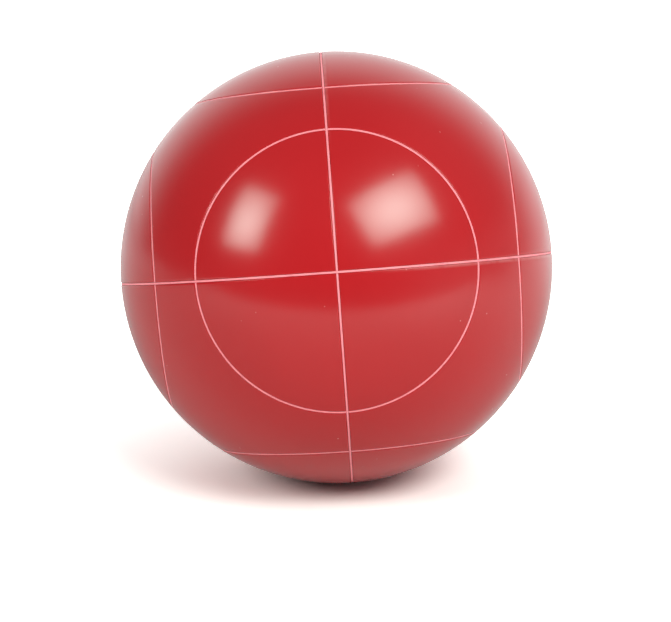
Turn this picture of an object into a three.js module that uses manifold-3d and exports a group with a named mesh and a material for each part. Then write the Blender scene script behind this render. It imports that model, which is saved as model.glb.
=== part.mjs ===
// A bocce ball of moulded resin, in millimetres, +Z up, with its centre at the origin.
//
// Two red half shells close round a heavier, mineral-filled core. They meet on the ball's equator, where a
// tongue on the lower half stands in a slot in the upper half. The outside is scored with nine lines: three
// great circles at right angles to each other, and one ring round each of the six points where they cross.
// Each line is a tapered groove with a bead of paint lying in it, below the ball's surface.
//
// The ball is built upright, with its poles on the axes, and then turned to the way it lies.

import * as THREE from "three";
import { mergeVertices } from "three/addons/utils/BufferGeometryUtils.js";
import Module from "manifold-3d";

// ---------------------------------------------------------------- driving dimensions

const BALL_DIAMETER = 107;
const SHELL_WALL = 13.5; // thickness of the red resin, from the core to the outside
const CORE_GAP = 0.3; // room for the bond between the core and the half shells
const JOINT_GAP = 0.2; // room for the bond between the two half shells

const TONGUE_WIDTH = 4; // across the wall
const TONGUE_HEIGHT = 2.5; // above the joint's plane
const TONGUE_CLEARANCE = 0.2; // on every side of the tongue in its slot

const CORE_GATE_DIAMETER = 9; // flat that is left where the core's pouring gate was cut off

const RING_ANGLE_DEG = 37.25; // from a ring's pole to the ring, seen from the ball's centre
const GREAT_LINE = { mouth: 0.8, floor: 0.35 }; // width of a great circle's groove, at its mouth and floor
const RING_LINE = { mouth: 0.65, floor: 0.25 }; // the same for a ring
const GROOVE_DEPTH = 0.8;
const PAINT_RECESS = 0.25; // from the ball's surface down to the paint
const PAINT_CLEARANCE = 0.05; // between the paint and its groove, and between two lines that cross

const LEAN_BACK_DEG = 10.7; // how far the front pole is turned up from the horizon
const LEAN_LEFT_DEG = 4.2; // how far the top pole is turned to the left, seen from the front

const GREAT_STEPS = 48; // flats round a great circle, and round the ball
const RING_STEPS = 36; // flats round a ring
const INNER_ARC_STEPS = 9; // flats from pole to equator, in the cavity and on the core

// ---------------------------------------------------------------- sizes that follow from them

const BALL_RADIUS = BALL_DIAMETER / 2;
const CAVITY_RADIUS = BALL_RADIUS - SHELL_WALL;
const CORE_RADIUS = CAVITY_RADIUS - CORE_GAP;
const TONGUE_MIDDLE = (CAVITY_RADIUS + BALL_RADIUS - GROOVE_DEPTH) / 2; // radius of the tongue's middle
const LAP_DEPTH = (PAINT_RECESS + GROOVE_DEPTH - PAINT_CLEARANCE) / 2; // where one line passes over another
const CUT_MARGIN = 1; // how far a cutter stands out of the ball
const FLOOR_MARGIN = 0.25; // how far a cut through a paint line runs on below the groove's floor

const FULL_TURN = 2 * Math.PI;
const QUARTER_TURN = Math.PI / 2;
const RING_ANGLE = THREE.MathUtils.degToRad(RING_ANGLE_DEG);

const UP = new THREE.Vector3(0, 0, 1);
const RIGHT = new THREE.Vector3(1, 0, 0);
const BACK = new THREE.Vector3(0, 1, 0);
const LATHE_AXIS = BACK; // LatheGeometry spins its profile round +Y

// ---------------------------------------------------------------- materials

const RED_RESIN = new THREE.MeshStandardMaterial({ color: 0xc4232b, roughness: 0.15, metalness: 0 });
const CORE_RESIN = new THREE.MeshStandardMaterial({ color: 0xa9a49a, roughness: 0.75, metalness: 0 });
const LINE_PAINT = new THREE.MeshStandardMaterial({ color: 0xf4a6ae, roughness: 0.5, metalness: 0 });

// ---------------------------------------------------------------- solids

const wasm = await Module();
wasm.setup();

/** A closed three.js geometry as a solid that can be cut and joined. */
function solidOf(geometry) {
  const bare = geometry.clone();
  bare.deleteAttribute("normal");
  bare.deleteAttribute("uv");
  const merged = mergeVertices(bare, 1e-4);
  return new wasm.Manifold(
    new wasm.Mesh({
      numProp: 3,
      vertProperties: merged.attributes.position.array,
      triVerts: new Uint32Array(merged.index.array),
    }),
  );
}

/** The surface of a solid as a three.js geometry with flat faces. */
function geometryOf(solid) {
  const mesh = solid.getMesh();
  const shared = new THREE.BufferGeometry();
  shared.setAttribute("position", new THREE.BufferAttribute(mesh.vertProperties, 3));
  shared.setIndex(new THREE.BufferAttribute(mesh.triVerts, 1));
  const faceted = shared.toNonIndexed();
  faceted.computeVertexNormals();
  return faceted;
}

/** A profile of (radius, height) points spun round an axis through the origin. */
function spun(profile, axis, steps) {
  const geometry = new THREE.LatheGeometry(profile, steps);
  geometry.applyQuaternion(new THREE.Quaternion().setFromUnitVectors(LATHE_AXIS, axis));
  return solidOf(geometry);
}

/** Points of a quarter circle from the pole on the spin axis down to the equator. */
function quarterArc(radius, steps) {
  return Array.from({ length: steps + 1 }, (_, i) => {
    const angle = (QUARTER_TURN * i) / steps;
    return new THREE.Vector2(i ? radius * Math.sin(angle) : 0, i < steps ? radius * Math.cos(angle) : 0);
  });
}

// ---------------------------------------------------------------- score lines

// A line lies where a cone of half angle `angle` round `axis` meets the ball. A line earlier in the list
// passes over every later one that it crosses, and the two share the paint's thickness there.
const LINES = [
  { name: "equator_line", axis: UP, angle: QUARTER_TURN, groove: GREAT_LINE, steps: GREAT_STEPS },
  { name: "front_to_back_line", axis: RIGHT, angle: QUARTER_TURN, groove: GREAT_LINE, steps: GREAT_STEPS },
  { name: "side_to_side_line", axis: BACK, angle: QUARTER_TURN, groove: GREAT_LINE, steps: GREAT_STEPS },
  ...[
    ["top_ring_line", UP],
    ["bottom_ring_line", UP.clone().negate()],
    ["right_ring_line", RIGHT],
    ["left_ring_line", RIGHT.clone().negate()],
    ["back_ring_line", BACK],
    ["front_ring_line", BACK.clone().negate()],
  ].map(([name, axis]) => ({ name, axis, angle: RING_ANGLE, groove: RING_LINE, steps: RING_STEPS })),
];

/** Width of a groove at a depth below the ball's surface. It tapers evenly from its mouth to its floor. */
function widthAt(groove, depth) {
  return groove.mouth + ((groove.floor - groove.mouth) * depth) / GROOVE_DEPTH;
}

/** The part of a line's groove between two depths, made wider or narrower by `spare` on each side. */
function lineBand(line, fromDepth, toDepth, spare) {
  const outward = new THREE.Vector2(Math.sin(line.angle), Math.cos(line.angle));
  const across = new THREE.Vector2(Math.cos(line.angle), -Math.sin(line.angle));
  const corner = (depth, side) =>
    outward
      .clone()
      .multiplyScalar(BALL_RADIUS - depth)
      .addScaledVector(across, side * (widthAt(line.groove, depth) / 2 + spare));
  const outline = [corner(toDepth, 1), corner(fromDepth, 1), corner(fromDepth, -1), corner(toDepth, -1)];
  return spun([...outline, outline[0]], line.axis, line.steps);
}

/** The tool that scores a line's groove into the ball. */
const grooveCutter = (line) => lineBand(line, -CUT_MARGIN, GROOVE_DEPTH, 0);

/** The bead of paint in a line's groove, lapped with the lines that it crosses. */
function paintBead(line, index) {
  const wholeBead = lineBand(line, PAINT_RECESS, GROOVE_DEPTH - PAINT_CLEARANCE, -PAINT_CLEARANCE);
  const topLayer = lineBand(line, -CUT_MARGIN, LAP_DEPTH + PAINT_CLEARANCE / 2, PAINT_CLEARANCE);
  return LINES.reduce((bead, other, otherIndex) => {
    if (otherIndex === index) return bead;
    if (otherIndex > index) {
      const below = LAP_DEPTH - PAINT_CLEARANCE / 2;
      return bead.subtract(lineBand(other, below, GROOVE_DEPTH + FLOOR_MARGIN, PAINT_CLEARANCE));
    }
    return bead.subtract(topLayer.intersect(lineBand(other, -CUT_MARGIN, GROOVE_DEPTH, PAINT_CLEARANCE)));
  }, wholeBead);
}

// ---------------------------------------------------------------- core and half shells

/** The core: a cast ball with a small flat on top, where its pouring gate was cut off. */
function core() {
  const gateRadius = CORE_GATE_DIAMETER / 2;
  const flatHeight = Math.sqrt(CORE_RADIUS ** 2 - gateRadius ** 2);
  const arc = quarterArc(CORE_RADIUS, INNER_ARC_STEPS);
  const lower = arc.map((point) => new THREE.Vector2(point.x, -point.y));
  const upper = arc.slice(0, -1).reverse().filter((point) => point.x > gateRadius);
  const flat = [new THREE.Vector2(gateRadius, flatHeight), new THREE.Vector2(0, flatHeight)];
  return spun([...lower, ...upper, ...flat], UP, GREAT_STEPS);
}

/** Points along the rim of a half shell, from the cavity to the outside, with a step in the middle. */
function rim(stepWidth, stepHeight, jointHeight) {
  const inner = TONGUE_MIDDLE - stepWidth / 2;
  const outer = TONGUE_MIDDLE + stepWidth / 2;
  return [
    new THREE.Vector2(CAVITY_RADIUS, jointHeight),
    new THREE.Vector2(inner, jointHeight),
    new THREE.Vector2(inner, stepHeight),
    new THREE.Vector2(outer, stepHeight),
    new THREE.Vector2(outer, jointHeight),
    new THREE.Vector2(BALL_RADIUS, jointHeight),
  ];
}

/** One half shell, open side down, with its rim and the nine grooves cut into it. */
function halfShell(axis, rimPoints) {
  const inside = quarterArc(CAVITY_RADIUS, INNER_ARC_STEPS).slice(0, -1);
  const outside = quarterArc(BALL_RADIUS, GREAT_STEPS / 4).slice(0, -1).reverse();
  const blank = spun([...inside, ...rimPoints, ...outside], axis, GREAT_STEPS);
  return LINES.reduce((half, line) => half.subtract(grooveCutter(line)), blank);
}

/** The upper half shell, with a slot in its rim for the tongue. */
function upperHalfShell() {
  const slotWidth = TONGUE_WIDTH + 2 * TONGUE_CLEARANCE;
  const slotDepth = TONGUE_HEIGHT + TONGUE_CLEARANCE;
  return halfShell(UP, rim(slotWidth, slotDepth, JOINT_GAP / 2));
}

/** The lower half shell, with the tongue standing on its rim. Its profile is drawn upside down. */
function lowerHalfShell() {
  return halfShell(UP.clone().negate(), rim(TONGUE_WIDTH, -TONGUE_HEIGHT, JOINT_GAP / 2));
}

// ---------------------------------------------------------------- the ball

/** A named piece of the ball. */
function piece(name, solid, material) {
  const mesh = new THREE.Mesh(geometryOf(solid), material);
  mesh.name = name;
  return mesh;
}

const ball = new THREE.Group();
ball.name = "bocce_ball";
ball.add(piece("core", core(), CORE_RESIN));
ball.add(piece("upper_half_shell", upperHalfShell(), RED_RESIN));
ball.add(piece("lower_half_shell", lowerHalfShell(), RED_RESIN));
LINES.forEach((line, index) => ball.add(piece(line.name, paintBead(line, index), LINE_PAINT)));

ball.rotation.set(
  -THREE.MathUtils.degToRad(LEAN_BACK_DEG),
  -THREE.MathUtils.degToRad(LEAN_LEFT_DEG),
  0,
  "XYZ",
);

export default ball;
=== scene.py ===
"""Looks of a scored resin bocce ball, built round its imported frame.

The ball is two half shells of cast red resin closed round a mineral-filled core, scored with nine lines.
Each line is a groove with a bead of paint lying in it. Every piece is shaped in millimetres, upright, with
the ball's centre at the origin. It is then turned to the way the ball lies and brought to metres.
"""

import logging
import math
from dataclasses import dataclass
from enum import Enum
from typing import Any, Callable

import bpy
import numpy as np
from mathutils import Matrix, Vector


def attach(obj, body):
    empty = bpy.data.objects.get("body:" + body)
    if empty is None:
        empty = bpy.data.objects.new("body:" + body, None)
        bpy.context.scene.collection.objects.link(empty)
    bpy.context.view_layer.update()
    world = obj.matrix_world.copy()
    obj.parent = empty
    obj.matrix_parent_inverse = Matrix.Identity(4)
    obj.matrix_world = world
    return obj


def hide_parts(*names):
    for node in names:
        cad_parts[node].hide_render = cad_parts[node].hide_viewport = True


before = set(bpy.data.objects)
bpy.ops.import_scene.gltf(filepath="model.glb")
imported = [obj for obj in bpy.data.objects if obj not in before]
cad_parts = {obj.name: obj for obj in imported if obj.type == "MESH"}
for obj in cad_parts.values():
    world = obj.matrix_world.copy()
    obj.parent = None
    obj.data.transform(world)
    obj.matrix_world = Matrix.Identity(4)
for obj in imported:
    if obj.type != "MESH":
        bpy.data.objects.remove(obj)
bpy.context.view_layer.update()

log = logging.getLogger("bocce_ball")

METRES_PER_MM = 0.001
BODY = "root"

Point = tuple[float, float]
Triple = tuple[float, float, float]

UP: Triple = (0.0, 0.0, 1.0)
DOWN: Triple = (0.0, 0.0, -1.0)
RIGHT: Triple = (1.0, 0.0, 0.0)
LEFT: Triple = (-1.0, 0.0, 0.0)
BACK: Triple = (0.0, 1.0, 0.0)
FRONT: Triple = (0.0, -1.0, 0.0)
CENTRE: Triple = (0.0, 0.0, 0.0)
WHITE = (1.0, 1.0, 1.0, 1.0)

QUARTER_TURN = math.pi / 2
FULL_TURN = 2 * math.pi

# ---------------------------------------------------------------- sizes shared by the pieces, in millimetres

BALL_RADIUS = 53.5
CAVITY_RADIUS = 40.0
CORE_RADIUS = 39.7
JOINT_GAP = 0.2
TONGUE_HALF_WIDTH = 2.0
TONGUE_HEIGHT = 2.5
TONGUE_CLEARANCE = 0.2
GROOVE_DEPTH = 0.8
RING_ANGLE = math.radians(37.25)
LEAN_BACK = math.radians(10.7)
LEAN_LEFT = math.radians(4.2)


def lie_of_the_ball() -> Matrix:
    """The turn from the upright ball to the way it lies, and the step from millimetres to metres."""
    turn = Matrix.Rotation(-LEAN_BACK, 4, "X") @ Matrix.Rotation(-LEAN_LEFT, 4, "Y")
    return turn @ Matrix.Scale(METRES_PER_MM, 4)


# ---------------------------------------------------------------- score lines


@dataclass(frozen=True)
class GrooveShape:
    """Half of a groove's section: how deep it is at each distance from the middle of the line.

    Attributes:
        stations: (distance from the line's middle, depth) from the outside in, in millimetres.
        paint: half of the paint bead's section, from its top middle round to its bottom middle, as
            (distance from the line's middle, depth).
    """

    stations: tuple[Point, ...]
    paint: tuple[Point, ...]

    def depth_at(self, distance: np.ndarray) -> np.ndarray:
        """Depth of the groove at each distance from the line's middle."""
        far_to_near = sorted(self.stations)
        return np.interp(distance, [s[0] for s in far_to_near], [s[1] for s in far_to_near])

    def paint_edge(self) -> float:
        """Greatest distance of the paint from the line's middle."""
        return max(distance for distance, _ in self.paint)


# A great circle's groove is turned with a wider tool than a ring's. Both have a rounded shoulder, because
# the ball is polished after it is scored, and walls that close in towards a flat floor.
GREAT_GROOVE = GrooveShape(
    stations=(
        (0.80, 0.0), (0.48, 0.0), (0.42, 0.015), (0.37, 0.055),
        (0.33, 0.12), (0.24, 0.38), (0.14, 0.8), (0.0, 0.8),
    ),
    paint=(
        (0.0, 0.12), (0.10, 0.12), (0.18, 0.13), (0.23, 0.17),
        (0.25, 0.25), (0.205, 0.48), (0.125, 0.75), (0.0, 0.77),
    ),
)
RING_GROOVE = GrooveShape(
    stations=(
        (0.68, 0.0), (0.42, 0.0), (0.36, 0.015), (0.315, 0.05),
        (0.275, 0.11), (0.20, 0.36), (0.11, 0.8), (0.0, 0.8),
    ),
    paint=(
        (0.0, 0.06), (0.10, 0.06), (0.17, 0.065), (0.225, 0.085),
        (0.245, 0.14), (0.185, 0.42), (0.10, 0.75), (0.0, 0.77),
    ),
)


@dataclass(frozen=True)
class ScoreLine:
    """A line where a cone round an axis meets the ball. Lines earlier in LINES pass over later ones.

    Attributes:
        name: name of the line's CAD node.
        axis: unit vector of the cone's axis, in the upright ball.
        angle: half angle of the cone, in radians.
        groove: shape of the line's groove.
        steps: how many steps the line's paint bead is spun in.
    """

    name: str
    axis: Triple
    angle: float
    groove: GrooveShape
    steps: int

    def distance(self, points: np.ndarray) -> np.ndarray:
        """Signed distance of points from the line's middle, along the ball's surface, in millimetres."""
        heights = points @ np.array(self.axis) / np.linalg.norm(points, axis=1)
        return (np.arccos(np.clip(heights, -1.0, 1.0)) - self.angle) * BALL_RADIUS

    def plane_at(self, distance: float) -> tuple[Triple, Triple]:
        """A point and a normal of the plane that cuts the ball at a distance from the line's middle."""
        height = BALL_RADIUS * math.cos(self.angle + distance / BALL_RADIUS)
        return tuple(height * part for part in self.axis), self.axis


def great_line(name: str, axis: Triple) -> ScoreLine:
    """A score line that is a great circle round an axis."""
    return ScoreLine(name, axis, QUARTER_TURN, GREAT_GROOVE, steps=288)


def ring_line(name: str, axis: Triple) -> ScoreLine:
    """A score line that is a ring round the pole on an axis."""
    return ScoreLine(name, axis, RING_ANGLE, RING_GROOVE, steps=192)


LINES: tuple[ScoreLine, ...] = (
    great_line("equator_line", UP),
    great_line("front_to_back_line", RIGHT),
    great_line("side_to_side_line", BACK),
    ring_line("top_ring_line", UP),
    ring_line("bottom_ring_line", DOWN),
    ring_line("right_ring_line", RIGHT),
    ring_line("left_ring_line", LEFT),
    ring_line("back_ring_line", BACK),
    ring_line("front_ring_line", FRONT),
)


# ---------------------------------------------------------------- work on one mesh


class Pick(Enum):
    """What is picked in edit mode."""

    VERTICES = "VERT"
    EDGES = "EDGE"
    FACES = "FACE"


class Workpiece:
    """One mesh object while it is being shaped, with the moves that a modeller makes by hand."""

    def __init__(self, name: str, add: Callable[..., Any], **settings: Any) -> None:
        """Adds a primitive and takes hold of it.

        Args:
            name: name of the new object and its mesh.
            add: the operator that adds the primitive.
            settings: the operator's settings.
        """
        if bpy.ops.object.mode_set.poll():
            bpy.ops.object.mode_set(mode="OBJECT")
        bpy.ops.object.select_all(action="DESELECT")
        add(**settings)
        self.obj: bpy.types.Object = bpy.context.active_object
        self.obj.name = self.obj.data.name = name

    def hold(self) -> None:
        """Makes this the only selected object and leaves edit mode."""
        if bpy.context.object and bpy.context.object.mode != "OBJECT":
            bpy.ops.object.mode_set(mode="OBJECT")
        bpy.ops.object.select_all(action="DESELECT")
        self.obj.select_set(True)
        bpy.context.view_layer.objects.active = self.obj

    def edit(self, pick: Pick = Pick.VERTICES, everything: bool = False) -> None:
        """Goes into edit mode with nothing, or everything, selected."""
        self.hold()
        bpy.ops.object.mode_set(mode="EDIT")
        bpy.ops.mesh.select_mode(type=pick.value)
        bpy.ops.mesh.select_all(action="SELECT" if everything else "DESELECT")

    def points(self) -> np.ndarray:
        """Every vertex as a row of an array, in object mode."""
        self.hold()
        flat = np.empty(len(self.obj.data.vertices) * 3)
        self.obj.data.vertices.foreach_get("co", flat)
        return flat.reshape(-1, 3)

    def select(self, wanted: np.ndarray) -> None:
        """Goes into edit mode with just the wanted vertices selected, and what lies between them.

        Args:
            wanted: one truth value for each vertex.
        """
        self.edit(Pick.VERTICES)
        bpy.ops.object.mode_set(mode="OBJECT")
        self.obj.data.vertices.foreach_set("select", np.asarray(wanted, dtype=bool))
        bpy.ops.object.mode_set(mode="EDIT")

    def cut(self, plane: tuple[Triple, Triple], **settings: Any) -> None:
        """Cuts through the selected mesh along a plane, in edit mode."""
        bpy.ops.mesh.bisect(plane_co=plane[0], plane_no=plane[1], threshold=1e-5, **settings)

    def modify(self, kind: str, **settings: Any) -> None:
        """Adds a modifier with its settings and applies it."""
        self.hold()
        modifier = self.obj.modifiers.new(kind.title(), kind)
        for key, value in settings.items():
            setattr(modifier, key, value)
        bpy.ops.object.modifier_apply(modifier=modifier.name)

    def weigh(self, name: str, weights: np.ndarray) -> None:
        """Gives the mesh a vertex group, with one weight for each vertex."""
        self.hold()
        group = self.obj.vertex_groups.new(name=name)
        for index in np.flatnonzero(weights > 0):
            group.add([int(index)], float(weights[index]), "REPLACE")

    def cast_to(self, radius: float, weights: np.ndarray | None = None) -> None:
        """Draws vertices on to a ball round the origin.

        Args:
            radius: the ball's radius in millimetres.
            weights: how far each vertex goes, from 0 to 1, or None to draw all of them right on to the ball.
        """
        settings: dict[str, Any] = {"cast_type": "SPHERE", "factor": 1.0, "radius": 0.0}
        settings |= {"use_radius_as_size": False, "size": radius}
        if weights is not None:
            self.weigh("cast", weights)
            settings["vertex_group"] = "cast"
        self.modify("CAST", **settings)
        self.obj.vertex_groups.clear()

    def copy(self, name: str) -> "Workpiece":
        """A second workpiece with its own copy of the mesh."""
        self.hold()
        bpy.ops.object.duplicate()
        twin = object.__new__(Workpiece)
        twin.obj = bpy.context.active_object
        twin.obj.name = twin.obj.data.name = name
        return twin

    def take_in(self, other: "Workpiece") -> None:
        """Joins another workpiece into this one."""
        self.hold()
        other.obj.select_set(True)
        bpy.ops.object.join()

    def discard(self) -> None:
        """Deletes the workpiece."""
        self.hold()
        mesh = self.obj.data
        bpy.ops.object.delete()
        bpy.data.meshes.remove(mesh)

    def close_up(self, merge_distance: float) -> None:
        """Merges doubled vertices and points every face outwards."""
        self.edit(Pick.VERTICES, everything=True)
        bpy.ops.mesh.remove_doubles(threshold=merge_distance)
        bpy.ops.mesh.select_all(action="SELECT")
        bpy.ops.mesh.normals_make_consistent(inside=False)
        self.hold()

    def lay(self) -> None:
        """Turns the piece to the way the ball lies, in metres, with its place in its mesh."""
        self.hold()
        self.obj.matrix_world = lie_of_the_ball()
        bpy.ops.object.transform_apply(location=True, rotation=True, scale=True)

    def smooth(self, sharp_degrees: float) -> None:
        """Shades the piece smooth, with edges sharper than an angle kept crisp."""
        self.hold()
        bpy.ops.object.shade_smooth_by_angle(angle=math.radians(sharp_degrees))
        self.modify("WEIGHTED_NORMAL", keep_sharp=True, weight=80)


# ---------------------------------------------------------------- finishes


def linear(hex_colour: str) -> tuple[float, float, float, float]:
    """A colour given as sRGB hex, such as "C8202A", as linear light with full opacity."""
    parts = (int(hex_colour[i : i + 2], 16) / 255 for i in (0, 2, 4))
    return (*(p / 12.92 if p <= 0.04045 else ((p + 0.055) / 1.055) ** 2.4 for p in parts), 1.0)


def add_node(
    tree: bpy.types.NodeTree, kind: str, inputs: dict[Any, Any] | None = None, **settings: Any
) -> Any:
    """Adds a node to a tree.

    Args:
        tree: the node tree.
        kind: the node's type.
        inputs: an input's name or number, to a value or to the output socket that feeds it.
        settings: the node's own settings.

    Returns:
        The new node.
    """
    node = tree.nodes.new(kind)
    for key, value in settings.items():
        setattr(node, key, value)
    for key, value in (inputs or {}).items():
        if isinstance(value, bpy.types.NodeSocket):
            tree.links.new(value, node.inputs[key])
        else:
            node.inputs[key].default_value = value
    return node


def new_tree(name: str) -> tuple[bpy.types.Material, bpy.types.NodeTree]:
    """An empty material with nodes, and its tree."""
    material = bpy.data.materials.new(name)
    material.use_nodes = True
    material.node_tree.nodes.clear()
    return material, material.node_tree


def millimetres(tree: bpy.types.NodeTree) -> Any:
    """The object's own coordinates in millimetres, as an output socket."""
    place = add_node(tree, "ShaderNodeTexCoord").outputs["Object"]
    scale = (1 / METRES_PER_MM,) * 3
    return add_node(tree, "ShaderNodeMapping", {"Vector": place, "Scale": scale}).outputs["Vector"]


@dataclass(frozen=True)
class PaintedGrooveLight:
    """Painted light: a paler band along one side of a great circle, for light caught by the groove's wall.

    Attributes:
        across: axis that tells how far a point is from the circle, in the upright ball.
        side: which side of the circle the painted light is on, 1 or -1.
        along: axis that the painted light grows along.
        start: place on that axis where the painted light starts, in millimetres.
        end: place on that axis where the painted light is at its strongest.
        strength: how much the painted light hides the resin at the line.
        full_until: distance from the line's middle up to which the painted light is whole.
        gone_at: distance from the line's middle where it has faded out.
    """

    across: str
    side: int
    along: str
    start: float
    end: float
    strength: float
    full_until: float = 0.35
    gone_at: float = 1.15

    def mask(self, tree: bpy.types.NodeTree, upright: Any) -> Any:
        """How strong the painted light is, as an output socket.

        Args:
            tree: the material's tree.
            upright: node whose outputs X, Y and Z are the place in the upright ball, in millimetres.
        """
        aside = add_node(
            tree,
            "ShaderNodeMath",
            {0: upright.outputs[self.across], 1: float(self.side)},
            operation="MULTIPLY",
        ).outputs[0]
        fade = add_node(
            tree,
            "ShaderNodeMapRange",
            {
                "Value": aside,
                "From Min": self.full_until,
                "From Max": self.gone_at,
                "To Min": 1.0,
                "To Max": 0.0,
            },
        ).outputs["Result"]
        on_side = add_node(tree, "ShaderNodeMath", {0: aside, 1: 0.0}, operation="GREATER_THAN").outputs[0]
        stretch = add_node(
            tree,
            "ShaderNodeMapRange",
            {
                "Value": upright.outputs[self.along],
                "From Min": self.start,
                "From Max": self.end,
                "To Max": self.strength,
            },
            interpolation_type="SMOOTHSTEP",
        ).outputs["Result"]
        painted_groove_light = add_node(tree, "ShaderNodeMath", {0: fade, 1: on_side}, operation="MULTIPLY").outputs[0]
        return add_node(tree, "ShaderNodeMath", {0: painted_groove_light, 1: stretch}, operation="MULTIPLY").outputs[0]


@dataclass(frozen=True)
class CastResin:
    """Pigmented polyester resin, cast and polished: deep red with a soft gloss.

    The pigment is stirred in by hand, so the red drifts a little over a few centimetres. Polishing leaves
    faint marks and a trace of orange peel that soften the edges of what it mirrors. Fine dust and short rub
    marks show paler than the red. Beside some lines the resin is painted paler along one side: painted
    light, standing in for the groove's wall catching the light. The mirror_tint has no source in the
    material, as a real resin mirrors white: it is set for how the highlights look.
    """

    name: str = "polished_cast_polyester_resin_red"
    red: str = "B9181E"
    deep_red: str = "B0141A"
    dust: str = "E8A9A6"
    # Colour of the painted light beside some lines, for light caught by the groove's wall.
    painted_groove_light: str = "D8A2A2"
    roughness: float = 0.19
    ior: float = 1.56
    mirror_tint: Triple = (0.82, 1.0, 0.97)
    bloom: float = 0.22
    bloom_roughness: float = 0.25
    drift_mm: float = 24.0
    mark_mm: float = 0.5
    mark_depth: float = 0.03
    peel_mm: float = 5.0
    peel_strength: float = 0.5
    peel_height: float = 0.00002
    # Size of the patches in the painted light beside the lines.
    painted_groove_light_patch_mm: float = 2.5
    speck_cell_mm: float = 3.1
    rub_cell_mm: float = 5.5
    rub_stretch: float = 5.0
    rub_turn: Triple = (0.2, 0.35, 0.0)
    # Painted light along one side of three lines, for light caught by the groove's wall.
    painted_groove_lights: tuple[PaintedGrooveLight, ...] = (
        PaintedGrooveLight("Z", -1, "X", 6.0, 26.0, 0.34),
        PaintedGrooveLight("X", 1, "Z", 26.0, 46.0, 0.26),
        PaintedGrooveLight("Z", 1, "Y", 8.0, 30.0, 0.22),
    )

    def material(self) -> bpy.types.Material:
        """Builds the finish."""
        material, tree = new_tree(self.name)
        place = millimetres(tree)
        colour = self.colour(tree, place)
        marks = add_node(
            tree,
            "ShaderNodeTexNoise",
            {"Vector": place, "Scale": 1 / self.mark_mm, "Detail": 4.0, "Roughness": 0.6},
        )
        roughness = add_node(
            tree,
            "ShaderNodeMapRange",
            {
                "Value": marks.outputs["Fac"],
                "To Min": self.roughness - self.mark_depth,
                "To Max": self.roughness + self.mark_depth,
            },
        )
        peel = add_node(
            tree,
            "ShaderNodeTexNoise",
            {"Vector": place, "Scale": 1 / self.peel_mm, "Detail": 2.0, "Roughness": 0.4},
        )
        bump = add_node(
            tree,
            "ShaderNodeBump",
            {"Height": peel.outputs["Fac"], "Strength": self.peel_strength, "Distance": self.peel_height},
        )
        shader = add_node(
            tree,
            "ShaderNodeBsdfPrincipled",
            {
                "Base Color": colour,
                "Roughness": roughness.outputs["Result"],
                "IOR": self.ior,
                "Specular Tint": (*self.mirror_tint, 1.0),
                "Sheen Weight": self.bloom,
                "Sheen Roughness": self.bloom_roughness,
                "Normal": bump.outputs["Normal"],
            },
        )
        add_node(tree, "ShaderNodeOutputMaterial", {"Surface": shader.outputs[0]})
        return material

    def colour(self, tree: bpy.types.NodeTree, place: Any) -> Any:
        """Colour of the resin with what lies on it and the painted light beside some lines, as an output
        socket.

        Args:
            tree: the material's tree.
            place: socket with the place in millimetres.
        """
        drift = add_node(
            tree,
            "ShaderNodeTexNoise",
            {"Vector": place, "Scale": 1 / self.drift_mm, "Detail": 3.0, "Roughness": 0.5},
        )
        specks = self.speck_mask(tree, place, self.speck_cell_mm, size=0.05, share=0.12, strength=0.4)
        layers = (
            (drift.outputs["Fac"], self.deep_red),
            # painted light along one side of some lines
            (self.painted_groove_light_mask(tree, place), self.painted_groove_light),
            (specks, self.dust),
            (self.rub_mask(tree, place), self.dust),
        )
        result: Any = linear(self.red)
        for mask, shade in layers:
            mix = add_node(tree, "ShaderNodeMix", {0: mask, 6: result, 7: linear(shade)}, data_type="RGBA")
            result = mix.outputs[2]
        return result

    def painted_groove_light_mask(self, tree: bpy.types.NodeTree, place: Any) -> Any:
        """How strong the painted light beside the lines is, as an output socket: patchy, and only beside some
        lines.
        """
        lie = (LEAN_BACK, LEAN_LEFT, 0.0)
        upright = add_node(tree, "ShaderNodeMapping", {"Vector": place, "Rotation": lie}).outputs["Vector"]
        parts = add_node(tree, "ShaderNodeSeparateXYZ", {0: upright})
        total: Any = 0.0
        for light_band in self.painted_groove_lights:
            total = add_node(
                tree, "ShaderNodeMath", {0: light_band.mask(tree, parts), 1: total}, operation="ADD"
            ).outputs[0]
        patches = add_node(
            tree, "ShaderNodeTexNoise", {"Vector": place, "Scale": 1 / self.painted_groove_light_patch_mm, "Detail": 4.0}
        )
        uneven = add_node(
            tree,
            "ShaderNodeMapRange",
            {"Value": patches.outputs["Fac"], "From Min": 0.3, "From Max": 0.55, "To Min": 0.45},
        )
        return add_node(
            tree, "ShaderNodeMath", {0: total, 1: uneven.outputs["Result"]}, operation="MULTIPLY"
        ).outputs[0]

    def rub_mask(self, tree: bpy.types.NodeTree, place: Any) -> Any:
        """Where short rub marks lie, as an output socket: specks drawn out in one direction."""
        drawn_out = add_node(
            tree,
            "ShaderNodeMapping",
            {"Vector": place, "Rotation": self.rub_turn, "Scale": (1.0, 1.0, 1 / self.rub_stretch)},
        ).outputs["Vector"]
        return self.speck_mask(tree, drawn_out, self.rub_cell_mm, size=0.035, share=0.3, strength=0.2)

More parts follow.
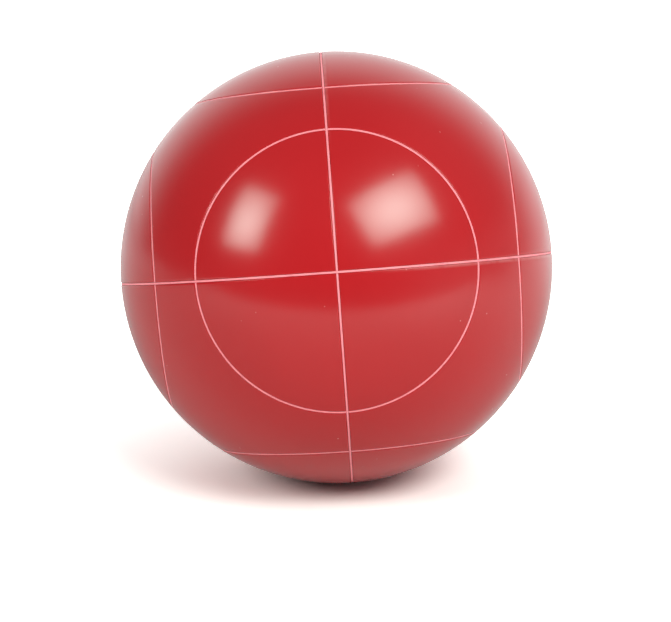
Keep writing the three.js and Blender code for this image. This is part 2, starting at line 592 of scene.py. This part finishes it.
    def speck_mask(
        self, tree: bpy.types.NodeTree, place: Any, cell_mm: float, size: float, share: float, strength: float
    ) -> Any:
        """Where specks lie: a small dot in some cells of a scattered grid.

        Args:
            tree: the material's tree.
            place: socket with the place in millimetres.
            cell_mm: size of a cell.
            size: radius of a dot, as a share of a cell.
            share: share of the cells that have a dot.
            strength: how much a dot hides what it lies on.

        Returns:
            A socket that is the strength on a speck and 0 elsewhere.
        """
        cells = add_node(
            tree, "ShaderNodeTexVoronoi", {"Vector": place, "Scale": 1 / cell_mm, "Randomness": 1.0}
        )
        dot = add_node(
            tree,
            "ShaderNodeMapRange",
            {
                "Value": cells.outputs["Distance"],
                "From Min": 0.6 * size,
                "From Max": 1.4 * size,
                "To Min": strength,
                "To Max": 0.0,
            },
        )
        lot = add_node(tree, "ShaderNodeSeparateColor", {"Color": cells.outputs["Color"]})
        chosen = add_node(tree, "ShaderNodeMath", {0: lot.outputs["Red"], 1: share}, operation="LESS_THAN")
        return add_node(
            tree, "ShaderNodeMath", {0: dot.outputs["Result"], 1: chosen.outputs[0]}, operation="MULTIPLY"
        ).outputs[0]


@dataclass(frozen=True)
class LinePaint:
    """Pale pink enamel wiped into the grooves: satin, a little uneven where it was wiped thin."""

    name: str = "wiped_in_enamel_pale_pink"
    pink: str = "FF939C"
    thin: str = "EE7783"
    roughness: float = 0.45
    patch_mm: float = 3.0
    grain_mm: float = 0.25

    def material(self) -> bpy.types.Material:
        """Builds the finish."""
        material, tree = new_tree(self.name)
        place = millimetres(tree)
        patches = add_node(
            tree,
            "ShaderNodeTexNoise",
            {"Vector": place, "Scale": 1 / self.patch_mm, "Detail": 5.0, "Roughness": 0.65},
        )
        thinness = add_node(
            tree, "ShaderNodeMapRange", {"Value": patches.outputs["Fac"], "From Min": 0.5, "From Max": 0.75}
        )
        colour = add_node(
            tree,
            "ShaderNodeMix",
            {0: thinness.outputs["Result"], 6: linear(self.pink), 7: linear(self.thin)},
            data_type="RGBA",
        )
        grain = add_node(
            tree, "ShaderNodeTexNoise", {"Vector": place, "Scale": 1 / self.grain_mm, "Detail": 2.0}
        )
        bump = add_node(
            tree, "ShaderNodeBump", {"Height": grain.outputs["Fac"], "Strength": 0.4, "Distance": 0.00003}
        )
        shader = add_node(
            tree,
            "ShaderNodeBsdfPrincipled",
            {
                "Base Color": colour.outputs[2],
                "Roughness": self.roughness,
                "Normal": bump.outputs["Normal"],
            },
        )
        add_node(tree, "ShaderNodeOutputMaterial", {"Surface": shader.outputs[0]})
        return material


@dataclass(frozen=True)
class FilledCore:
    """Polyester resin filled with ground chalk: dull stone grey, speckled, with pinholes from casting."""

    name: str = "chalk_filled_cast_resin_grey"
    stone: str = "A59F94"
    dark: str = "7E786E"
    chalk: str = "D8D3C8"
    roughness: float = 0.72
    cloud_mm: float = 14.0
    grit_mm: float = 0.9
    pinhole_cell_mm: float = 3.2

    def material(self) -> bpy.types.Material:
        """Builds the finish."""
        material, tree = new_tree(self.name)
        place = millimetres(tree)
        clouds = add_node(
            tree, "ShaderNodeTexNoise", {"Vector": place, "Scale": 1 / self.cloud_mm, "Detail": 5.0}
        )
        body = add_node(
            tree,
            "ShaderNodeMix",
            {0: clouds.outputs["Fac"], 6: linear(self.stone), 7: linear(self.dark)},
            data_type="RGBA",
        )
        grit = add_node(tree, "ShaderNodeTexVoronoi", {"Vector": place, "Scale": 1 / self.grit_mm})
        grains = add_node(
            tree,
            "ShaderNodeMapRange",
            {
                "Value": grit.outputs["Distance"],
                "From Min": 0.1,
                "From Max": 0.35,
                "To Min": 0.7,
                "To Max": 0.0,
            },
        )
        colour = add_node(
            tree,
            "ShaderNodeMix",
            {0: grains.outputs["Result"], 6: body.outputs[2], 7: linear(self.chalk)},
            data_type="RGBA",
        )
        holes = add_node(tree, "ShaderNodeTexVoronoi", {"Vector": place, "Scale": 1 / self.pinhole_cell_mm})
        pits = add_node(
            tree,
            "ShaderNodeMapRange",
            {"Value": holes.outputs["Distance"], "From Min": 0.04, "From Max": 0.12},
        )
        bump = add_node(
            tree, "ShaderNodeBump", {"Height": pits.outputs["Result"], "Strength": 0.8, "Distance": 0.0002}
        )
        shader = add_node(
            tree,
            "ShaderNodeBsdfPrincipled",
            {"Base Color": colour.outputs[2], "Roughness": self.roughness, "Normal": bump.outputs["Normal"]},
        )
        add_node(tree, "ShaderNodeOutputMaterial", {"Surface": shader.outputs[0]})
        return material


# ---------------------------------------------------------------- the ball's pieces


def seat(work: Workpiece, finish: bpy.types.Material, node: str) -> bpy.types.Object:
    """Dresses a finished piece and puts it in the frame in place of its CAD node.

    Args:
        work: the finished piece.
        finish: its material.
        node: the CAD node that it stands for.

    Returns:
        The piece.
    """
    piece = work.obj
    piece.data.materials.clear()
    piece.data.materials.append(finish)
    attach(piece, BODY)
    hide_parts(node)
    log.info("%s: %d faces", piece.name, len(piece.data.polygons))
    return piece


@dataclass
class ScoredSkin:
    """The ball's whole outside, scored with the nine grooves, before it is parted into two halves."""

    squares: int = 64
    lines: tuple[ScoreLine, ...] = LINES

    def build(self) -> Workpiece:
        """Builds the outside from a cube whose faces are divided into squares and drawn on to a ball."""
        work = Workpiece(
            "scored_skin", bpy.ops.mesh.primitive_cube_add, size=2 * BALL_RADIUS, location=CENTRE
        )
        work.edit(everything=True)
        bpy.ops.mesh.subdivide(number_cuts=self.squares - 1)
        work.cast_to(BALL_RADIUS)
        work.edit(everything=True)
        for line in self.lines:
            for distance, _ in line.groove.stations[:-1]:
                for side in (-1, 1):
                    bpy.ops.mesh.select_all(action="SELECT")
                    work.cut(line.plane_at(side * distance))
        work.cast_to(BALL_RADIUS)
        points = work.points()
        depths = np.max([line.groove.depth_at(np.abs(line.distance(points))) for line in self.lines], axis=0)
        work.cast_to(BALL_RADIUS - GROOVE_DEPTH, depths / GROOVE_DEPTH)
        return work


class Side(Enum):
    """Which half shell."""

    UPPER = 1
    LOWER = -1


@dataclass
class HalfShell:
    """Half of the red shell: scored outside, rim with its tongue or slot, and round cavity.

    Attributes:
        name: the piece's name.
        node: the CAD node that it stands for.
        side: upper or lower half.
        step_half_width: half the width of the tongue or slot.
        step_height: height of the tongue, or depth of the slot, above the joint's plane.
    """

    name: str
    node: str
    side: Side
    step_half_width: float
    step_height: float
    step_middle: float = (CAVITY_RADIUS + BALL_RADIUS - GROOVE_DEPTH) / 2
    step_chamfer: float = 0.3
    land: float = 1.2
    spokes: int = 160
    dome_steps: int = 26

    def rim_profile(self) -> list[Point]:
        """(radius, height) of the rim from the outer land to the cavity, drawn for the upper side up."""
        joint = self.side.value * JOINT_GAP / 2
        out = self.step_middle + self.step_half_width
        inn = self.step_middle - self.step_half_width
        top, nip = self.step_height, self.step_chamfer
        return [
            (BALL_RADIUS - GROOVE_DEPTH - self.land, joint),
            (out, joint),
            (out, top - nip),
            (out - nip, top),
            (inn + nip, top),
            (inn, top - nip),
            (inn, joint),
            (CAVITY_RADIUS + self.step_chamfer, joint),
        ]

    def dome_profile(self) -> list[Point]:
        """(radius, height) of the cavity from its mouth towards its pole."""
        start = math.asin((JOINT_GAP / 2 + self.step_chamfer) / CAVITY_RADIUS)
        angles = [start + (QUARTER_TURN - start) * i / self.dome_steps for i in range(self.dome_steps)]
        return [
            (CAVITY_RADIUS * math.cos(a), self.side.value * CAVITY_RADIUS * math.sin(a)) for a in angles
        ]

    def lining(self) -> Workpiece:
        """The rim and the cavity, drawn inwards from a circle ring by ring and closed at the pole."""
        profile = self.rim_profile() + self.dome_profile()
        radius, height = profile[0]
        work = Workpiece(
            f"{self.name}_lining",
            bpy.ops.mesh.primitive_circle_add,
            vertices=self.spokes,
            radius=radius,
            location=(0.0, 0.0, height),
        )
        work.hold()
        bpy.ops.object.transform_apply(location=True, rotation=True, scale=True)
        work.edit(Pick.EDGES, everything=True)
        for new_radius, new_height in profile[1:]:
            share = new_radius / radius
            bpy.ops.mesh.extrude_edges_move()
            bpy.ops.transform.resize(value=(share, share, 1.0), center_override=CENTRE)
            bpy.ops.transform.translate(value=(0.0, 0.0, new_height - height))
            radius, height = new_radius, new_height
        bpy.ops.mesh.extrude_edges_move()
        bpy.ops.transform.translate(value=(0.0, 0.0, self.side.value * CAVITY_RADIUS - height))
        bpy.ops.mesh.merge(type="CENTER")
        # The bridge to the skin follows the way the faces point, and crosses the cavity if that is wrong.
        bpy.ops.mesh.select_all(action="SELECT")
        bpy.ops.mesh.normals_make_consistent(inside=True)
        work.hold()
        return work

    def build(self, skin: Workpiece, finish: bpy.types.Material) -> bpy.types.Object:
        """Parts one half from the scored skin, gives it its lining and puts it in the frame.

        Args:
            skin: the whole scored outside.
            finish: the red resin.

        Returns:
            The half shell.
        """
        work = skin.copy(self.name)
        work.edit(everything=True)
        joint = (0.0, 0.0, self.side.value * JOINT_GAP / 2)
        work.cut((joint, (0.0, 0.0, float(self.side.value))), clear_inner=True)
        work.take_in(self.lining())
        work.edit(Pick.EDGES)
        bpy.ops.mesh.select_non_manifold()
        bpy.ops.mesh.bridge_edge_loops()
        work.close_up(merge_distance=1e-4)
        work.lay()
        work.smooth(sharp_degrees=50)
        return seat(work, finish, self.node)


@dataclass
class Core:
    """The core: a cast ball with its gate's flat on top and a low parting ridge."""

    squares: int = 40
    gate_radius: float = 4.5
    gate_chamfer: float = 0.4
    ridge_half_width: float = 0.9
    ridge_height: float = 0.12

    def build(self, finish: bpy.types.Material) -> bpy.types.Object:
        """Builds the core and puts it in the frame."""
        work = Workpiece("core_ball", bpy.ops.mesh.primitive_cube_add, size=2 * CORE_RADIUS, location=CENTRE)
        work.edit(everything=True)
        bpy.ops.mesh.subdivide(number_cuts=self.squares - 1)
        work.cast_to(CORE_RADIUS)
        work.edit(everything=True)
        for share in (-1.0, -0.4, 0.4, 1.0):
            bpy.ops.mesh.select_all(action="SELECT")
            work.cut(((0.0, share * self.ridge_half_width, 0.0), BACK))
        work.cast_to(CORE_RADIUS)
        away = np.abs(work.points()[:, 1]) / self.ridge_half_width
        work.cast_to(CORE_RADIUS + self.ridge_height, np.clip((1.0 - away) / 0.6, 0.0, 1.0))
        work.edit(everything=True)
        flat_height = math.sqrt(CORE_RADIUS**2 - self.gate_radius**2)
        work.cut(((0.0, 0.0, flat_height), UP), clear_outer=True, use_fill=True)
        bpy.ops.mesh.select_mode(type=Pick.FACES.value)
        bpy.ops.mesh.inset(thickness=self.gate_chamfer)
        bpy.ops.mesh.inset(thickness=self.gate_chamfer, depth=-0.1)
        work.close_up(merge_distance=1e-3)
        work.lay()
        work.smooth(sharp_degrees=35)
        return seat(work, finish, "core")


@dataclass
class PaintBead:
    """The paint in one groove: a ring of enamel, dished on top, lapped with the lines that it crosses.

    Attributes:
        line: the score line.
        rank: the line's place in LINES.
        lap_depth: depth where the upper of two crossing beads ends and the lower one begins.
        lap_gap: gap between two crossing beads.
    """

    line: ScoreLine
    rank: int
    lap_depth: float = 0.46
    lap_gap: float = 0.04
    lap_slope: float = 0.03

    def outline(self) -> list[Triple]:
        """Corners of the bead's section, round from its top middle, for a line whose axis is up."""
        half = self.line.groove.paint
        section = list(half) + [(-d, depth) for d, depth in reversed(half[1:-1])]
        corners = []
        for distance, depth in section:
            angle = self.line.angle + distance / BALL_RADIUS
            radius = BALL_RADIUS - depth
            corners.append((radius * math.sin(angle), 0.0, radius * math.cos(angle)))
        return corners

    def ring(self) -> Workpiece:
        """Draws the section point by point, closes it, and spins it all the way round."""
        corners = self.outline()
        work = Workpiece(
            f"{self.line.name}_paint", bpy.ops.mesh.primitive_plane_add, size=1.0, location=CENTRE
        )
        work.edit(everything=True)
        bpy.ops.mesh.merge(type="CENTER")
        bpy.ops.transform.translate(value=corners[0])
        for here, there in zip(corners, corners[1:]):
            step = tuple(b - a for a, b in zip(here, there))
            bpy.ops.mesh.extrude_vertices_move(TRANSFORM_OT_translate={"value": step})
        bpy.ops.mesh.select_all(action="SELECT")
        bpy.ops.mesh.select_mode(type=Pick.VERTICES.value)
        work.hold()
        count = len(corners)
        ends = np.zeros(count, dtype=bool)
        ends[[0, count - 1]] = True
        work.select(ends)
        bpy.ops.mesh.edge_face_add()
        bpy.ops.mesh.select_all(action="SELECT")
        bpy.ops.mesh.spin(steps=self.line.steps, angle=FULL_TURN, center=CENTRE, axis=UP)
        work.close_up(merge_distance=1e-3)
        return work

    def build(self, finish: bpy.types.Material) -> bpy.types.Object:
        """Builds the bead and puts it in the frame.

        Args:
            finish: the line paint.

        Returns:
            The bead.
        """
        work = self.ring()
        axis = Vector(self.line.axis)
        work.obj.rotation_mode = "QUATERNION"
        work.obj.rotation_quaternion = Vector(UP).rotation_difference(axis)
        work.hold()
        bpy.ops.object.transform_apply(location=True, rotation=True, scale=True)
        self.lap(work)
        work.lay()
        work.smooth(sharp_degrees=50)
        return seat(work, finish, self.line.name)

    def lap(self, work: Workpiece) -> None:
        """Thins the bead from above or below wherever another line crosses it."""
        others = [(rank, other) for rank, other in enumerate(LINES) if rank != self.rank]
        work.edit(everything=True)
        for _, other in others:
            reach = other.groove.paint_edge() + self.lap_gap
            for distance in (reach, reach + self.lap_slope):
                for side in (-1, 1):
                    bpy.ops.mesh.select_all(action="SELECT")
                    work.cut(other.plane_at(side * distance))
        points = work.points()
        radii = np.linalg.norm(points, axis=1)
        under_roof = BALL_RADIUS - self.lap_depth - self.lap_gap / 2
        over_floor = BALL_RADIUS - self.lap_depth + self.lap_gap / 2
        goes_down = np.zeros(len(points))
        goes_up = np.zeros(len(points))
        for rank, other in others:
            reach = other.groove.paint_edge() + self.lap_gap + self.lap_slope / 2
            inside = np.abs(other.distance(points)) < reach
            if rank < self.rank:
                goes_down[inside & (radii > under_roof)] = 1.0
            else:
                goes_up[inside & (radii < over_floor)] = 1.0
        if goes_down.any():
            work.cast_to(under_roof, goes_down)
        if goes_up.any():
            work.cast_to(over_floor, goes_up)


# ---------------------------------------------------------------- studio


@dataclass(frozen=True)
class Glow:
    """A patch of light that rises smoothly from nothing to its strength along one or more axes.

    Attributes:
        strength: how bright the patch is where all its ramps have run out, with white paper as 1.
        ramps: for each axis, its letter, where the ramp starts and where it has run out.
    """

    strength: float
    ramps: tuple[tuple[str, float, float], ...]

    def added_to(self, tree: bpy.types.NodeTree, parts: Any, total: Any) -> Any:
        """Adds the patch to a brightness.

        Args:
            tree: the tree to work in.
            parts: node whose outputs X, Y and Z are the place or direction.
            total: the brightness so far, as a number or an output socket.

        Returns:
            The new brightness, as an output socket.
        """
        patch: Any = self.strength
        for axis, start, end in self.ramps:
            ramp = add_node(
                tree,
                "ShaderNodeMapRange",
                {"Value": parts.outputs[axis], "From Min": start, "From Max": end},
                interpolation_type="SMOOTHSTEP",
            )
            patch = add_node(
                tree, "ShaderNodeMath", {0: ramp.outputs["Result"], 1: patch}, operation="MULTIPLY"
            ).outputs[0]
        return add_node(tree, "ShaderNodeMath", {0: patch, 1: total}, operation="ADD").outputs[0]


@dataclass(frozen=True)
class Softbox:
    """A soft rectangular lamp that faces the ball, brighter round the bulb behind its cloth.

    Attributes:
        name: the lamp's name.
        direction: unit vector from the ball to the lamp.
        distance: from the ball to the lamp, in metres.
        width: in metres.
        height: in metres.
        roll: turn round the line to the ball, in degrees.
        radiance: how bright its face is on the whole, where 1 is white paper in the picture.
        bulb: where the bulb sits behind the cloth, across and up, as shares of the face.
        bulb_gain: how many times the radiance the cloth shines in front of the bulb.
        corner_gain: the same for the corner that is furthest from the bulb.
        tint: colour of its tubes, a little green as seen against daylight.
        bulb_reach: how far from the bulb the cloth has dimmed to the corner's gain, as a share of the face.
    """

    name: str
    direction: Triple
    distance: float
    width: float
    height: float
    roll: float
    radiance: float
    bulb: Point = (0.5, 0.5)
    bulb_gain: float = 1.55
    corner_gain: float = 0.5
    tint: Triple = (0.92, 1.0, 0.94)
    bulb_reach: float = 0.7

    def shade(self, data: bpy.types.AreaLight) -> None:
        """Makes the lamp's face brightest in front of its bulb."""
        data.use_nodes = True
        tree = data.node_tree
        tree.nodes.clear()
        face = add_node(tree, "ShaderNodeNewGeometry").outputs["Parametric"]
        away = add_node(
            tree, "ShaderNodeVectorMath", {0: face, 1: (*self.bulb, 0.0)}, operation="DISTANCE"
        ).outputs["Value"]
        gain = add_node(
            tree,
            "ShaderNodeMapRange",
            {
                "Value": away,
                "From Max": self.bulb_reach,
                "To Min": self.bulb_gain,
                "To Max": self.corner_gain,
            },
            interpolation_type="SMOOTHSTEP",
        )
        glow = add_node(tree, "ShaderNodeEmission", {"Strength": gain.outputs["Result"]})
        add_node(tree, "ShaderNodeOutputLight", {"Surface": glow.outputs[0]})

    def build(self) -> bpy.types.Object:
        """Builds the lamp."""
        data = bpy.data.lights.new(self.name, "AREA")
        data.shape = "RECTANGLE"
        data.size, data.size_y = self.width, self.height
        data.color = self.tint
        data.energy = self.radiance * math.pi * self.width * self.height
        self.shade(data)
        lamp = bpy.data.objects.new(self.name, data)
        bpy.context.scene.collection.objects.link(lamp)
        out = Vector(self.direction).normalized()
        across = Vector(UP).cross(out).normalized()
        up = out.cross(across)
        face = Matrix((across, up, out)).transposed().to_4x4()
        lamp.matrix_world = (
            Matrix.Translation(out * self.distance) @ face @ Matrix.Rotation(math.radians(self.roll), 4, "Z")
        )
        return lamp


@dataclass
class Studio:
    """White table, pale surroundings, two softboxes and the camera.

    Distances are in metres. The lamps, patches of light and exposures are set for how the ball looks.
    """

    camera_distance: float = 0.50
    camera_elevation: float = 11.80
    camera_left_of_front: float = 0.163
    aim_below_centre: float = 1.241
    aim_left_of_centre: float = 0.026
    lens_mm: float = 107.65
    sensor_mm: float = 36.0
    table_front: float = -0.37
    table_back: float = 3.2
    table_half_width: float = 2.4
    softboxes: tuple[Softbox, ...] = (
        Softbox("softbox_right", (0.466, -0.630, 0.618), 1.0, 0.70, 0.46, 11.5, 8.2, bulb=(0.48, 0.48)),
        Softbox("softbox_left", (-0.681, -0.531, 0.504), 1.0, 0.36, 0.49, 0.0, 7.7, bulb=(0.5, 0.42)),
    )
    room: float = 0.17
    room_glows: tuple[Glow, ...] = (
        Glow(0.50, (("Y", 0.30, 0.75),)),
        Glow(0.44, (("Y", 0.50, 0.90),)),
        Glow(0.12, (("X", 0.0, 0.90),)),
        Glow(0.20, (("X", 0.50, 0.90), ("Z", 0.35, 0.10))),
        Glow(0.06, (("Z", 0.30, 0.90),)),
    )
    table_glows: tuple[Glow, ...] = (
        Glow(0.46, (("Y", -0.05, -0.30),)),
        Glow(0.56, (("X", 0.03, 0.30),)),
        Glow(0.20, (("X", -0.03, -0.30),)),
        Glow(0.46, (("Y", 0.05, 0.40),)),
    )
    paper_white: float = 0.90
    filter_share: float = 0.28
    exposure_at_ball: float = 0.90
    exposure_away: float = 2.3
    burnt_out_at: float = 0.085
    white_from: float = 0.15
    white_by: float = 0.8

    def build(self) -> None:
        """Builds the whole studio."""
        scene = bpy.context.scene
        scene.view_settings.view_transform = "Standard"
        self.camera()
        self.table()
        for softbox in self.softboxes:
            softbox.build()
        self.surroundings()

    def camera(self) -> None:
        """The camera, level from side to side, looking down on the ball."""
        data = bpy.data.cameras.new("camera")
        data.lens, data.sensor_width = self.lens_mm, self.sensor_mm
        data.clip_start = 0.01
        camera = bpy.data.objects.new("camera", data)
        bpy.context.scene.collection.objects.link(camera)
        elevation, aside = math.radians(self.camera_elevation), math.radians(self.camera_left_of_front)
        ahead = Vector((-math.sin(aside), -math.cos(aside), math.tan(elevation)))
        camera.location = ahead.normalized() * self.camera_distance
        pitch = QUARTER_TURN - elevation - math.radians(self.aim_below_centre)
        camera.rotation_euler = (pitch, 0.0, math.radians(self.aim_left_of_centre) - aside)
        bpy.context.scene.camera = camera

    def table(self) -> None:
        """The white table that the ball stands on."""
        depth = self.table_back - self.table_front
        work = Workpiece("studio_table", bpy.ops.mesh.primitive_plane_add, size=1.0, location=CENTRE)
        work.edit(everything=True)
        bpy.ops.transform.resize(value=(2 * self.table_half_width, depth, 1.0), center_override=CENTRE)
        middle = (self.table_front + self.table_back) / 2
        bpy.ops.transform.translate(value=(0.0, middle, -BALL_RADIUS * METRES_PER_MM))
        work.hold()
        work.obj.data.materials.append(self.paper())

    def paper(self) -> bpy.types.Material:
        """White sweep paper.

        The ball is lit and mirrored by plain paper with soft patches of light on it. A share of what the
        ball mirrors of it is held back, much as a polarising filter would. The camera sees the same paper
        exposed for a white ground: it burns out to white a short way from the ball.
        """
        material, tree = new_tree("white_sweep_paper")
        place = add_node(tree, "ShaderNodeTexCoord").outputs["Object"]
        parts = add_node(tree, "ShaderNodeSeparateXYZ", {0: place})
        glow: Any = 0.0
        for patch in self.table_glows:
            glow = patch.added_to(tree, parts, glow)
        lit = add_node(tree, "ShaderNodeEmission", {"Color": WHITE, "Strength": glow})
        plain = add_node(tree, "ShaderNodeBsdfDiffuse", {"Color": (*(self.paper_white,) * 3, 1.0)})
        bright = add_node(tree, "ShaderNodeAddShader", {0: plain.outputs[0], 1: lit.outputs[0]})
        light_path = add_node(tree, "ShaderNodeLightPath").outputs
        mirrored = light_path["Is Glossy Ray"]
        filtered = add_node(
            tree, "ShaderNodeMath", {0: mirrored, 1: self.filter_share}, operation="MULTIPLY"
        )
        for_ball = add_node(tree, "ShaderNodeMixShader", {0: filtered.outputs[0], 1: bright.outputs[0]})
        foot = (0.0, 0.0, -BALL_RADIUS * METRES_PER_MM)
        reach = add_node(
            tree, "ShaderNodeVectorMath", {0: place, 1: foot}, operation="DISTANCE"
        ).outputs["Value"]
        exposure = add_node(
            tree,
            "ShaderNodeMapRange",
            {
                "Value": reach,
                "From Max": self.burnt_out_at,
                "To Min": self.exposure_at_ball,
                "To Max": self.exposure_away,
            },
        )
        exposed = add_node(tree, "ShaderNodeBsdfDiffuse", {"Color": exposure.outputs["Result"]})
        far = add_node(
            tree,
            "ShaderNodeMapRange",
            {"Value": reach, "From Min": self.white_from, "From Max": self.white_by},
            interpolation_type="SMOOTHSTEP",
        )
        white = add_node(tree, "ShaderNodeEmission", {"Color": WHITE, "Strength": far.outputs["Result"]})
        for_camera = add_node(tree, "ShaderNodeAddShader", {0: exposed.outputs[0], 1: white.outputs[0]})
        seen = light_path["Is Camera Ray"]
        shader = add_node(
            tree, "ShaderNodeMixShader", {0: seen, 1: for_ball.outputs[0], 2: for_camera.outputs[0]}
        )
        add_node(tree, "ShaderNodeOutputMaterial", {"Surface": shader.outputs[0]})
        return material

    def surroundings(self) -> None:
        """White all round for the camera. In what the ball mirrors, the room behind the camera is darker."""
        world = bpy.data.worlds.new("studio")
        bpy.context.scene.world = world
        world.use_nodes = True
        tree = world.node_tree
        tree.nodes.clear()
        direction = add_node(tree, "ShaderNodeTexCoord").outputs["Generated"]
        parts = add_node(tree, "ShaderNodeSeparateXYZ", {0: direction})
        brightness: Any = self.room
        for patch in self.room_glows:
            brightness = patch.added_to(tree, parts, brightness)
        room = add_node(tree, "ShaderNodeBackground", {"Color": WHITE, "Strength": brightness})
        white = add_node(tree, "ShaderNodeBackground", {"Color": WHITE, "Strength": 1.0})
        seen = add_node(tree, "ShaderNodeLightPath").outputs["Is Camera Ray"]
        mix = add_node(tree, "ShaderNodeMixShader", {0: seen, 1: room.outputs[0], 2: white.outputs[0]})
        add_node(tree, "ShaderNodeOutputWorld", {"Surface": mix.outputs[0]})


def main() -> None:
    """Builds the studio and every piece of the ball, in order."""
    logging.basicConfig(level=logging.INFO, format="%(name)s: %(message)s")
    Studio().build()
    resin, paint, filled = CastResin().material(), LinePaint().material(), FilledCore().material()
    Core().build(filled)
    skin = ScoredSkin().build()
    tongue, height, gap = TONGUE_HALF_WIDTH, TONGUE_HEIGHT, TONGUE_CLEARANCE
    halves = (
        HalfShell("shell_top", "upper_half_shell", Side.UPPER, tongue + gap, height + gap),
        HalfShell("shell_bottom", "lower_half_shell", Side.LOWER, tongue, height),
    )
    for half in halves:
        half.build(skin, resin)
    skin.discard()
    for rank, line in enumerate(LINES):
        PaintBead(line, rank).build(paint)


if __name__ == "__main__":
    main()
